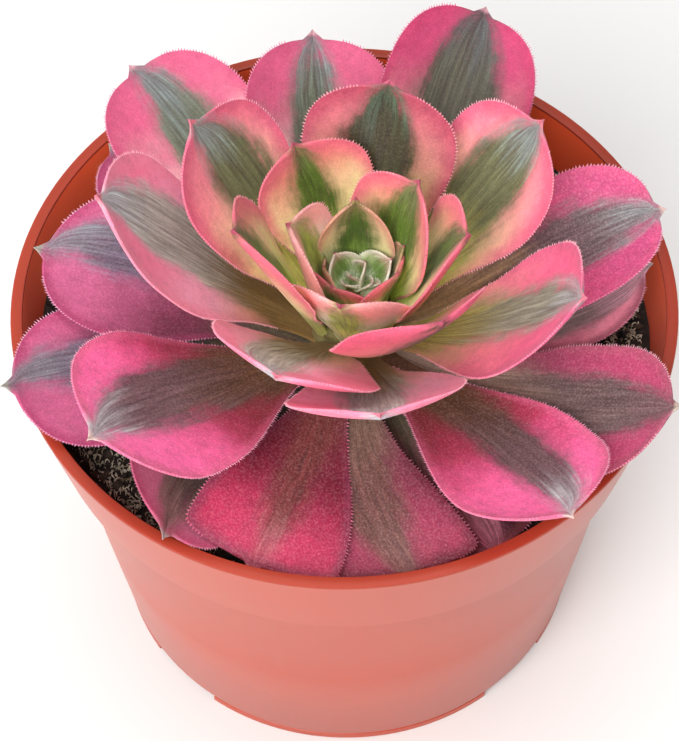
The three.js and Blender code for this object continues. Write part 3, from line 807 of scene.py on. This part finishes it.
class Leaf:
    """One leaf's middle surface and thickness, by its place u along and t across."""

    def __init__(self, row, base_height, base_radius):
        x, y, z, bend, self.width, cup, roll, curl, self.sweep, finish = row[:10]
        self.cup = math.radians(cup)
        self.roll = math.radians(roll)
        large = self.width > LARGE_WIDTH
        self.base_half_width = LEAF_BASE_HALF_WIDTH if large else SMALL_BASE_SHARE * self.width
        self.form = POINTED if finish in ("heart", "bud") else BROAD
        self.widest = row[12] if len(row) > 12 else self.form["widest"]
        draw = random.Random(int(1000 * abs(x) + 10 * z))
        self.phases = [draw.uniform(0, 2 * math.pi) for _ in range(4)]
        away = np.array((x, y)) - STEM
        azimuth = math.atan2(away[1], away[0])
        self.outward = np.array((math.cos(azimuth), math.sin(azimuth), 0))
        self.sideways = np.array((-math.sin(azimuth), math.cos(azimuth), 0))
        reach = math.hypot(*away) - base_radius
        climb = z - base_height
        self.u = np.linspace(0, 1, MIDRIB_STEPS + 1)
        middle = (self.u[1:] + self.u[:-1]) / 2
        slope = self.slope(middle, bend, curl)
        out = np.concatenate(([0], np.cumsum(np.cos(slope))))
        up = np.concatenate(([0], np.cumsum(np.sin(slope))))
        scale = math.hypot(reach, climb) / math.hypot(out[-1], up[-1])
        turn = math.atan2(climb, reach) - math.atan2(up[-1], out[-1])
        self.out = base_radius + scale * (out * math.cos(turn) - up * math.sin(turn))
        self.up = base_height + scale * (out * math.sin(turn) + up * math.cos(turn))
        self.angle = self.slope(self.u, bend, curl) + turn
        self.length = scale * MIDRIB_STEPS

    @staticmethod
    def slope(u, bend, curl):
        """How far the midrib has turned upwards at u, in radians."""
        past = np.clip((u - CURL_START) / (1 - CURL_START), 0, 1)
        return math.radians(bend) * u + math.radians(curl) * past ** 2

    @staticmethod
    def wave(u, long_phase, short_phase):
        """A long and a short wave of one margin."""
        return np.sin(LONG_WAVE * u + long_phase) + SHORT_WAVE_SHARE * np.sin(SHORT_WAVE * u + short_phase)

    def half_width(self, u):
        full = outline(u, self.form, self.widest)
        stalk = np.clip(self.base_half_width * (1 - u / STALK_END), 0, None) * (1 - full)
        return np.maximum(stalk + full * self.width / 2, LEAST_HALF_WIDTH)

    def half_thickness(self, u, t):
        middle = min(MIDDLE_HALF_THICKNESS, MIDDLE_SHARE * self.width) * (1 - THINNING * u)
        half = EDGE_HALF_THICKNESS + np.clip(middle - EDGE_HALF_THICKNESS, 0, None) * (1 - t * t)
        return half * np.clip(TIP_THICKNESS + (1 - u) / TIP_TAPER, 0, 1)

    def surface(self, u, t):
        """Points of the middle surface and its upper normals, in arrays."""
        angle = np.interp(u, self.u, self.angle)[:, None]
        above = np.array((0, 0, 1)) * np.cos(angle) - self.outward * np.sin(angle)
        turn = (self.roll * np.minimum(1, u / ROLL_END))[:, None]
        side = self.sideways * np.cos(turn) + above * np.sin(turn)
        face = above * np.cos(turn) - self.sideways * np.sin(turn)
        centre = np.zeros((len(u), 3))
        centre[:, :2] = STEM
        centre += self.outward * np.interp(u, self.u, self.out)[:, None]
        centre[:, 2] += np.interp(u, self.u, self.up)
        centre += self.sideways * (self.sweep * 4 * u * (1 - u))[:, None]
        half = self.half_width(u)
        bow = self.cup * t
        points = centre + side * (half / self.cup * np.sin(bow))[:, None]
        points += face * (half / self.cup * (1 - np.cos(bow)))[:, None]
        keel = KEEL_DEPTH * np.clip((u - KEEL_START) / KEEL_RISE, 0, 1) * (1 - np.abs(t)) ** 4
        points -= face * (keel * min(1, self.width / KEEL_WIDTH))[:, None]
        left = self.wave(u, *self.phases[:2])
        right = self.wave(u, *self.phases[2:])
        wave = np.where(t > 0, left, right) * np.abs(t) ** 3 * np.clip(u * (1 - u) * 5, 0, 1)
        points += face * (wave * WAVE_HEIGHT * self.width / WAVED_WIDTH)[:, None]
        normal = face * np.cos(bow)[:, None] - side * np.sin(bow)[:, None]
        return points, normal

    def even_stations(self, count):
        """Places along the leaf that are evenly spaced on its margin."""
        u = np.linspace(0, 1, FINE_POINTS)
        steps = np.hypot(np.diff(u) * self.length, np.diff(self.half_width(u)))
        travelled = np.concatenate(([0], np.cumsum(steps)))
        return np.interp(np.linspace(0, travelled[-1], count), travelled, u)


def edge_distance(leaf, u, t):
    """How far each place is from the margin, on the flattened leaf."""
    margin_u = leaf.even_stations(MARGIN_POINTS)
    margin = np.column_stack((margin_u * leaf.length, leaf.half_width(margin_u)))
    place = np.column_stack((u * leaf.length, np.abs(t) * leaf.half_width(u)))
    gaps = place[:, None, :] - margin[None, :, :]
    return np.sqrt((gaps ** 2).sum(2)).min(1)


def make_blade(name, leaf, number, stripe_half_width, stripe_shift, rim_slot):
    """A grid bent into the leaf's middle surface, then given its thickness."""
    small = leaf.width < SMALL_WIDTH
    rows, columns = (SMALL_ROWS, SMALL_COLUMNS) if small else (ROWS, COLUMNS)
    deselect_all()
    cells = {"x_subdivisions": rows, "y_subdivisions": columns}
    bpy.ops.mesh.primitive_grid_add(size=2, location=(0, 0, 0), **cells)
    blade = bpy.context.object
    blade.name = name
    mesh = blade.data
    flat = np.zeros(len(mesh.vertices) * 3)
    mesh.vertices.foreach_get("co", flat)
    flat = flat.reshape(-1, 3)
    share = (flat[:, 0] + 1) / 2
    stations = leaf.even_stations(STATION_POINTS)
    u = np.interp(share, np.linspace(0, 1, STATION_POINTS), stations)
    t = flat[:, 1]
    points, _ = leaf.surface(u, t)
    mesh.vertices.foreach_set("co", (points * MM).ravel())
    side = t * leaf.half_width(u)
    reach = np.clip((1 - u) / STRIPE_TAPER, 0, 1) ** STRIPE_TAPER_CURVE * stripe_half_width
    set_values(mesh, "along", u)
    set_values(mesh, "across", t)
    set_values(mesh, "edge", edge_distance(leaf, u, t))
    shift = stripe_shift * np.clip(u / SHIFT_FROM_BASE, 0, 1) * np.clip((1 - u) / SHIFT_FROM_TIP, 0, 1)
    set_values(mesh, "stripe", reach + STRIPE_FEATHER - np.abs(side - shift))
    set_values(mesh, "number", np.full(len(u), number))
    thickness = leaf.half_thickness(u, t)
    thickest = float(thickness.max())
    group = blade.vertex_groups.new(name="thickness")
    for place, value in enumerate(thickness):
        group.add([place], float(value) / thickest, "REPLACE")
    mesh.update()
    apply_modifier(blade, "SOLIDIFY", thickness=2 * thickest * MM, offset=0, vertex_group="thickness",
                   thickness_vertex_group=0, use_rim=True, material_offset_rim=rim_slot)
    blade.vertex_groups.clear()
    return blade


def make_teeth(name, leaf, number, material):
    """A row of small pointed teeth along both margins, leaning towards the tip."""
    draw = random.Random(1000 + number)
    points = []
    faces = []
    size = min(1, LEAST_TOOTH_SIZE + leaf.width / TOOTH_GROWTH)
    count = int(leaf.length * MARGIN_PER_LENGTH / TOOTH_PITCH)
    stations = leaf.even_stations(count + 1)
    margin_u = stations[(stations > FIRST_TOOTH) & (stations < LAST_TOOTH)]
    for sign in (-1, 1):
        t = np.full(len(margin_u), float(sign))
        place, normal = leaf.surface(margin_u, t)
        run = np.gradient(place, axis=0)
        run /= np.linalg.norm(run, axis=1)[:, None]
        out = np.cross(run, normal) * -sign
        out /= np.linalg.norm(out, axis=1)[:, None]
        for centre, along, away, up in zip(place, run, out, normal):
            length = TOOTH_LENGTH * size * draw.uniform(0.6, 1.25)
            half = TOOTH_HALF_WIDTH * size * draw.uniform(0.8, 1.2)
            lean = draw.uniform(0.05, 0.5)
            lift = draw.uniform(-0.15, 0.2)
            root = centre - away * TOOTH_SINK
            first = len(points)
            points += [
                root - along * half,
                root + up * half * 0.75,
                root + along * half,
                root - up * half * 0.75,
                root + away * (length + TOOTH_SINK) + along * lean * length + up * lift * length,
            ]
            faces += [(first + a, first + b, first + 4) for a, b in ((0, 1), (1, 2), (2, 3), (3, 0))]
            faces.append((first + 3, first + 2, first + 1, first))
    teeth = mesh_piece(name, points, faces, material)
    select_only(teeth)
    bpy.ops.object.mode_set(mode="EDIT")
    bpy.ops.mesh.select_all(action="SELECT")
    bpy.ops.mesh.normals_make_consistent(inside=False)
    bpy.ops.object.mode_set(mode="OBJECT")
    return teeth


def make_leaf(name, row, base_height, base_radius, number, skins, edges):
    finish, stripe_half_width, stripe_shift = row[9:12]
    leaf = Leaf(row, base_height, base_radius)
    rim_slot = 1 if finish in PALE_RIMS else 0
    blade = make_blade(name, leaf, number, stripe_half_width, stripe_shift, rim_slot)
    blade.data.materials.clear()
    blade.data.materials.append(skins[finish])
    blade.data.materials.append(edges[finish])
    teeth = make_teeth(f"{name}_teeth", leaf, number, edges[finish])
    return join(name, [blade, teeth])


def make_large_leaves(skins, edges):
    for place, row in enumerate(LEAVES):
        name = f"leaf_blade_{place + 1:02d}"
        base_height = FIRST_LEAF_HEIGHT + LEAF_HEIGHT_STEP * place
        base_radius = dome_radius(base_height) - LEAF_ROOT
        leaf = make_leaf(name, row, base_height, base_radius, place + 1, skins, edges)
        finish_piece(leaf, None, [f"leaf_{place + 1:02d}"], smooth_angle=60)


def make_heart(skins, edges):
    pieces = []
    for place, (row, height, radius) in enumerate(HEART_LEAVES):
        name = f"heart_leaf_{place + 1}"
        pieces.append(make_leaf(name, row, height, radius, HEART_NUMBER + place, skins, edges))
    heart = join("heart_leaves", pieces)
    finish_piece(heart, None, ["heart"], smooth_angle=60)


# Pot

def pot_profile():
    """Half of the pot's section, from the middle of its underside round to the middle of its floor.

    Each edge is rounded by a few tenths of a millimetre.
    """
    foot_outside = BASE_RADIUS - 0.1
    foot_inside = foot_outside - FOOT_WIDTH
    lip_inside = RIM_RADIUS - LIP_WIDTH
    return [
        (0, FLOOR_BOTTOM),
        (foot_inside - 0.4, FLOOR_BOTTOM),
        (foot_inside, FLOOR_BOTTOM - 0.4),
        (foot_inside, 0.2),
        (foot_inside + 0.2, 0),
        (foot_outside - 0.3, 0),
        (foot_outside, 0.3),
        (foot_outside, NOTCH_HEIGHT - 0.3),
        (foot_outside - 0.35, NOTCH_HEIGHT),
        (foot_outside - 0.1, NOTCH_HEIGHT + 0.25),
        (BASE_RADIUS, NOTCH_HEIGHT + 0.5),
        (WALL_MIDDLE_RADIUS, WALL_MIDDLE),
        (WALL_TOP_RADIUS, COLLAR_BOTTOM - 2.2),
        (WALL_TOP_RADIUS + 0.5, COLLAR_BOTTOM - 1),
        (WALL_TOP_RADIUS + 1.5, COLLAR_BOTTOM - 0.3),
        (COLLAR_BOTTOM_RADIUS - 0.9, COLLAR_BOTTOM),
        (COLLAR_BOTTOM_RADIUS - 0.2, COLLAR_BOTTOM + 0.4),
        (COLLAR_BOTTOM_RADIUS, COLLAR_BOTTOM + 1.2),
        (RIM_RADIUS - 0.1, POT_HEIGHT - 1),
        (RIM_RADIUS, POT_HEIGHT - 0.5),
        (RIM_RADIUS - 0.15, POT_HEIGHT - 0.12),
        (RIM_RADIUS - 0.5, POT_HEIGHT),
        (lip_inside + 0.3, POT_HEIGHT),
        (lip_inside + 0.05, POT_HEIGHT - 0.1),
        (lip_inside, POT_HEIGHT - 0.4),
        (COLLAR_BOTTOM_RADIUS - WALL + 0.2, COLLAR_BOTTOM + 2.5),
        (WALL_TOP_RADIUS - WALL, COLLAR_BOTTOM + 1),
        (WALL_MIDDLE_RADIUS - WALL, WALL_MIDDLE),
        (BASE_RADIUS - WALL, FLOOR_TOP + 0.5),
        (BASE_RADIUS - WALL - 0.5, FLOOR_TOP),
        (0, FLOOR_TOP),
    ]


def cut(piece, tool):
    apply_modifier(piece, "BOOLEAN", operation="DIFFERENCE", object=tool, solver="EXACT")
    bpy.data.objects.remove(tool)


def make_pot(material):
    pot = spin_profile("pot_shell", pot_profile(), TURNED_STEPS)
    for angle in NOTCH_ANGLES:
        deselect_all()
        turn = math.radians(angle)
        radius = (BASE_RADIUS - FOOT_WIDTH / 2) * MM
        middle = (radius * math.cos(turn), radius * math.sin(turn), 0)
        bpy.ops.mesh.primitive_cube_add(size=1, location=middle, rotation=(0, 0, turn))
        notch = bpy.context.object
        notch.scale = (3 * FOOT_WIDTH * MM, NOTCH_LENGTH * MM, 2 * NOTCH_HEIGHT * MM)
        cut(pot, notch)
    for place in range(DRAIN_HOLES):
        deselect_all()
        turn = 2 * math.pi * place / DRAIN_HOLES
        middle = (DRAIN_CIRCLE * MM * math.cos(turn), DRAIN_CIRCLE * MM * math.sin(turn), 0)
        size = {"radius": DRAIN_RADIUS * MM, "depth": 4 * FLOOR_TOP * MM}
        bpy.ops.mesh.primitive_cylinder_add(vertices=DRAIN_SIDES, location=middle, **size)
        cut(pot, bpy.context.object)
    finish_piece(pot, [material], ["pot"], smooth_angle=35)


# Soil

def soil_height(x, y):
    """The uneven top of the soil: low swells, clods and crumbs."""
    height = SOIL_LEVEL - SOIL_SINK
    for scale, layer, bump in SOIL_BUMPS:
        height += bump * noise.noise(Vector((x * scale, y * scale, layer)))
    return height


def make_soil(material):
    rings = np.linspace(SOIL_RADIUS, 0, SOIL_RINGS)
    profile = [
        (0, FLOOR_TOP + SOIL_GAP),
        (BASE_RADIUS - WALL - 0.9, FLOOR_TOP + SOIL_GAP),
        (WALL_MIDDLE_RADIUS - WALL - SOIL_GAP, WALL_MIDDLE),
        (WALL_TOP_RADIUS - WALL - 0.4, COLLAR_BOTTOM + 1.5),
        (SOIL_SHOULDER_RADIUS, COLLAR_BOTTOM + 3),
    ]
    profile += [(radius, SOIL_LEVEL) for radius in rings]
    soil = spin_profile("soil_bed", profile, SOIL_STEPS)
    for vertex in soil.data.vertices:
        x, y, z = vertex.co / MM
        if z > SOIL_LEVEL - 1:
            vertex.co.z = soil_height(x, y) * MM
    finish_piece(soil, [material], ["soil"], smooth_angle=60)


def crumb_shape():
    deselect_all()
    bpy.ops.mesh.primitive_ico_sphere_add(subdivisions=1, radius=1, location=(0, 0, 0))
    shape = bpy.context.object
    points = np.array([vertex.co[:] for vertex in shape.data.vertices])
    faces = [tuple(face.vertices) for face in shape.data.polygons]
    bpy.data.objects.remove(shape)
    return points, faces


def scatter_crumbs(name, count, seed, material, sizes):
    """Angular crumbs lying on the soil, between the stem and the pot's wall."""
    draw = np.random.default_rng(seed)
    shape, shape_faces = crumb_shape()
    points = []
    faces = []
    for _ in range(count):
        radius = CRUMB_RADIUS * math.sqrt(draw.uniform(0.02, 1))
        angle = draw.uniform(0, 2 * math.pi)
        x, y = radius * math.cos(angle), radius * math.sin(angle)
        if math.hypot(x - STEM[0], y - STEM[1]) < STEM_RADIUS:
            continue
        size = sizes[0] + (sizes[1] - sizes[0]) * draw.uniform() ** 2.5
        lumps = shape * draw.uniform(0.65, 1.2, (len(shape), 1))
        stretch = np.array((1, draw.uniform(0.5, 0.9), draw.uniform(0.5, 0.9))) * size / 2
        heading = Matrix.Rotation(draw.uniform(0, 6.28), 3, "Z")
        tilt = Matrix.Rotation(draw.uniform(-0.5, 0.5), 3, "X")
        placed = (lumps * stretch) @ np.array(heading @ tilt).T
        placed += np.array((x, y, soil_height(x, y) + 0.25 * size))
        faces += [tuple(len(points) + corner for corner in face) for face in shape_faces]
        points += placed.tolist()
    crumbs = mesh_piece(name, points, faces, material)
    finish_piece(crumbs, None, None, smooth_angle=20)


def scatter_fibres(name, count, seed, material, lengths, radii, angles=(0, 360)):
    """Bent fibres between two radii and two angles in degrees, each a thin four-sided strand."""
    draw = np.random.default_rng(seed)
    points = []
    faces = []
    for _ in range(count):
        radius = math.sqrt(draw.uniform(radii[0] ** 2, radii[1] ** 2))
        angle = math.radians(draw.uniform(*angles))
        x, y = radius * math.cos(angle), radius * math.sin(angle)
        if math.hypot(x - STEM[0], y - STEM[1]) < STEM_RADIUS + 3:
            continue
        heading = draw.uniform(0, 2 * math.pi)
        length = draw.uniform(*lengths)
        curve = draw.uniform(-0.5, 0.5)
        thick = draw.uniform(0.1, 0.22)
        rest = draw.uniform(0.3, 1.3)
        first = len(points)
        for part in range(FIBRE_PARTS + 1):
            share = part / FIBRE_PARTS
            width = thick * (1 - 0.6 * abs(2 * share - 1))
            lift = rest + 0.6 * math.sin(math.pi * share)
            across = (-math.sin(heading), math.cos(heading))
            z = soil_height(x, y) + lift
            points += [
                (x + across[0] * width, y + across[1] * width, z),
                (x, y, z + width),
                (x - across[0] * width, y - across[1] * width, z),
                (x, y, z - width),
            ]
            x += math.cos(heading) * length / FIBRE_PARTS
            y += math.sin(heading) * length / FIBRE_PARTS
            heading += curve
        for part in range(FIBRE_PARTS):
            for corner in range(4):
                a = first + 4 * part + corner
                b = first + 4 * part + (corner + 1) % 4
                faces.append((a, b, b + 4, a + 4))
        last = first + 4 * FIBRE_PARTS
        faces.append((first + 3, first + 2, first + 1, first))
        faces.append((last, last + 1, last + 2, last + 3))
    fibres = mesh_piece(name, points, faces, material)
    finish_piece(fibres, None, None, smooth_angle=60)


# Stem

def make_stem(material):
    heights = np.linspace(SOIL_LEVEL - 2, DOME_START + DOME_HEIGHT - 0.5, STEM_RINGS)
    profile = [(0, heights[0])]
    for height in heights:
        swell = min(1, max(0, (height - SOIL_LEVEL) / 3))
        radius = STEM_FOOT_RADIUS + (dome_radius(height) - STEM_FOOT_RADIUS) * swell
        profile.append((radius if height < DOME_START else dome_radius(height), height))
    profile.append((0, DOME_START + DOME_HEIGHT))
    stem = spin_profile("stem_trunk", profile, STEM_STEPS, STEM)
    for vertex in stem.data.vertices:
        x, y, z = vertex.co / MM
        away = np.array((x, y)) - STEM
        radius = np.linalg.norm(away)
        if radius > 1:
            angle = SCAR_TURNS * math.atan2(away[1], away[0])
            scar = math.cos(angle + SCAR_PITCH * z) * math.cos(angle - SCAR_PITCH * z)
            away *= 1 + SCAR_DEPTH * scar / radius
            vertex.co.x, vertex.co.y = (STEM + away) * MM
    finish_piece(stem, [material], ["stem"], smooth_angle=60)


# Studio

def make_floor():
    deselect_all()
    bpy.ops.mesh.primitive_plane_add(size=FLOOR_SIZE, location=(0, 0, -FLOOR_DROP))
    floor = bpy.context.object
    floor.name = "studio_floor"
    material, _, shader = new_material("pale_floor")
    set_shader(shader, Base_Color=(0.86, 0.86, 0.86, 1), Roughness=0.8)
    floor.data.materials.append(material)


def make_light(name, place, size, power, tint):
    light = bpy.data.lights.new(name, "AREA")
    light.shape = "DISK"
    light.size = size
    light.energy = power
    light.color = tint
    holder = bpy.data.objects.new(name, light)
    holder.location = place
    aim = Vector(LIGHT_AIM) - holder.location
    holder.rotation_euler = aim.to_track_quat("-Z", "Y").to_euler()
    bpy.context.scene.collection.objects.link(holder)


def make_studio():
    world = bpy.data.worlds.new("studio")
    world.use_nodes = True
    tree = world.node_tree
    direction = make(tree, "ShaderNodeTexCoord").outputs["Generated"]
    from_left = make(tree, "ShaderNodeSeparateXYZ", {0: direction}).outputs["X"]
    share = rise(tree, from_left, -0.9, 0.9)
    background = tree.nodes["Background"].inputs
    tree.links.new(blend(tree, share, SKY_LEFT, SKY_RIGHT), background["Color"])
    background["Strength"].default_value = SKY_STRENGTH
    bpy.context.scene.world = world
    bpy.context.scene.view_settings.view_transform = "Standard"
    for name, (place, size, power, tint) in LIGHTS.items():
        make_light(name, place, size, power, tint)


def make_camera():
    place = Vector(CAMERA_PLACE)
    forward = (Vector(CAMERA_TARGET) - place).normalized()
    level = Vector((1, 0, 0))
    up = level.cross(forward)
    turn = math.radians(CAMERA_ROLL)
    right = math.cos(turn) * level + math.sin(turn) * up
    top = -math.sin(turn) * level + math.cos(turn) * up
    camera = bpy.data.cameras.new("camera")
    camera.sensor_width = SENSOR
    camera.sensor_fit = "AUTO"
    camera.lens = SENSOR * FOCAL_PIXELS / PHOTO_HEIGHT
    camera.clip_start = 0.01
    holder = bpy.data.objects.new("camera", camera)
    turned = Matrix((right, top, -forward)).transposed().to_4x4()
    holder.matrix_world = Matrix.Translation(place * MM) @ turned
    bpy.context.scene.collection.objects.link(holder)
    bpy.context.scene.camera = holder


# The plant in its pot, then the studio

pattern = make_leaf_pattern()
leaf_skins = {finish: make_leaf_material(finish, pattern) for finish in LEAF_FINISHES}
leaf_edges = {finish: make_edge_material(finish) for finish in LEAF_FINISHES}
make_pot(make_pot_material())
make_soil(make_soil_material())
peat_crumbs = make_crumb_material("peat_crumbs", colour(30, 25, 23), colour(74, 60, 50))
pale_grit = make_crumb_material("pale_grit", colour(150, 134, 110), colour(214, 206, 190))
bark_fibre = make_crumb_material("bark_fibre", colour(96, 76, 56), colour(168, 148, 116))
straw = make_crumb_material("straw", colour(150, 136, 112), colour(226, 216, 196))
scatter_crumbs("soil_crumbs", 3600, 11, peat_crumbs, (0.6, 3.2))
scatter_crumbs("soil_grit", 2600, 12, pale_grit, (0.3, 1.7))
scatter_fibres("soil_fibres", 500, 13, bark_fibre, (2.5, 8), (14, 60))
scatter_fibres("straw_left", 500, 14, straw, (0.5, 1.6), (55, 63), (196, 238))
scatter_fibres("straw_right", 320, 15, straw, (0.5, 1.8), (56, 63), (-24, 4))
make_stem(make_stem_material())
make_large_leaves(leaf_skins, leaf_edges)
make_heart(leaf_skins, leaf_edges)
make_floor()
make_studio()
make_camera()
